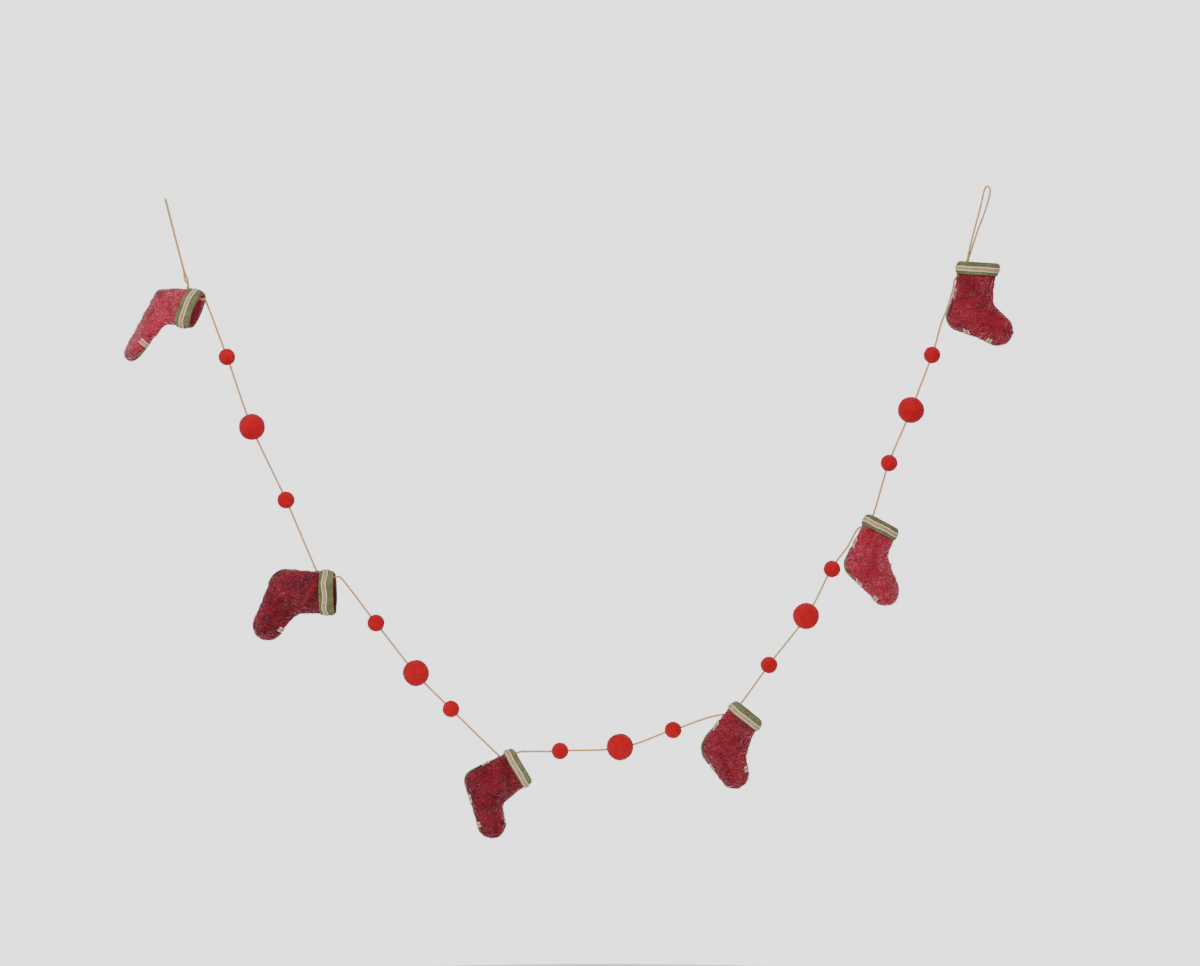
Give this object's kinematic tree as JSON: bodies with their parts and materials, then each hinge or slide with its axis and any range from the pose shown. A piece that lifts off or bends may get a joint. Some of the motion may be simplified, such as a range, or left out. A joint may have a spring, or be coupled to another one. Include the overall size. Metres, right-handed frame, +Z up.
{
  "type": "felt stocking garland",
  "caption": "Hanging garland of hollow felt stockings and felt balls threaded on a jute string with a loop at each end.",
  "frame": {"origin": "where the left loop of the string bears on its hook", "axes": "+X along the garland from the left loop towards the right loop, +Y away from the viewer through the felt, +Z up"},
  "size_m": [1.0888, 0.0431, 0.7981],
  "materials": {
    "red_felt": "heathered crimson wool felt",
    "green_felt": "moss green wool felt",
    "tan_ribbon": "woven tan ribbon with cream edges",
    "ball_felt": "bright red felted wool",
    "jute": "twisted two-ply jute"
  },
  "bodies": {
    "root": {"stocking_1_body": "red_felt", "stocking_1_cuff": "green_felt", "stocking_1_cuff_ribbon": "tan_ribbon", "stocking_1_heel_patch": "green_felt", "stocking_1_heel_ribbon": "tan_ribbon", "stocking_1_toe_patch": "green_felt", "stocking_1_toe_ribbon": "tan_ribbon", "stocking_2_body": "red_felt", "stocking_2_cuff": "green_felt", "stocking_2_cuff_ribbon": "tan_ribbon", "stocking_2_heel_patch": "green_felt", "stocking_2_heel_ribbon": "tan_ribbon", "stocking_2_toe_patch": "green_felt", "stocking_2_toe_ribbon": "tan_ribbon", "stocking_3_body": "red_felt", "stocking_3_cuff": "green_felt", "stocking_3_cuff_ribbon": "tan_ribbon", "stocking_3_heel_patch": "green_felt", "stocking_3_heel_ribbon": "tan_ribbon", "stocking_3_toe_patch": "green_felt", "stocking_3_toe_ribbon": "tan_ribbon", "stocking_4_body": "red_felt", "stocking_4_cuff": "green_felt", "stocking_4_cuff_ribbon": "tan_ribbon", "stocking_4_heel_patch": "green_felt", "stocking_4_heel_ribbon": "tan_ribbon", "stocking_4_toe_patch": "green_felt", "stocking_4_toe_ribbon": "tan_ribbon", "stocking_5_body": "red_felt", "stocking_5_cuff": "green_felt", "stocking_5_cuff_ribbon": "tan_ribbon", "stocking_5_heel_patch": "green_felt", "stocking_5_heel_ribbon": "tan_ribbon", "stocking_5_toe_patch": "green_felt", "stocking_5_toe_ribbon": "tan_ribbon", "stocking_6_body": "red_felt", "stocking_6_cuff": "green_felt", "stocking_6_cuff_ribbon": "tan_ribbon", "stocking_6_heel_patch": "green_felt", "stocking_6_heel_ribbon": "tan_ribbon", "stocking_6_toe_patch": "green_felt", "stocking_6_toe_ribbon": "tan_ribbon", "ball_1a": "ball_felt", "ball_1b": "ball_felt", "ball_1c": "ball_felt", "ball_2a": "ball_felt", "ball_2b": "ball_felt", "ball_2c": "ball_felt", "ball_3a": "ball_felt", "ball_3b": "ball_felt", "ball_3c": "ball_felt", "ball_4a": "ball_felt", "ball_4b": "ball_felt", "ball_4c": "ball_felt", "ball_5a": "ball_felt", "ball_5b": "ball_felt", "ball_5c": "ball_felt", "string": "jute"}
  },
  "joints": []
}
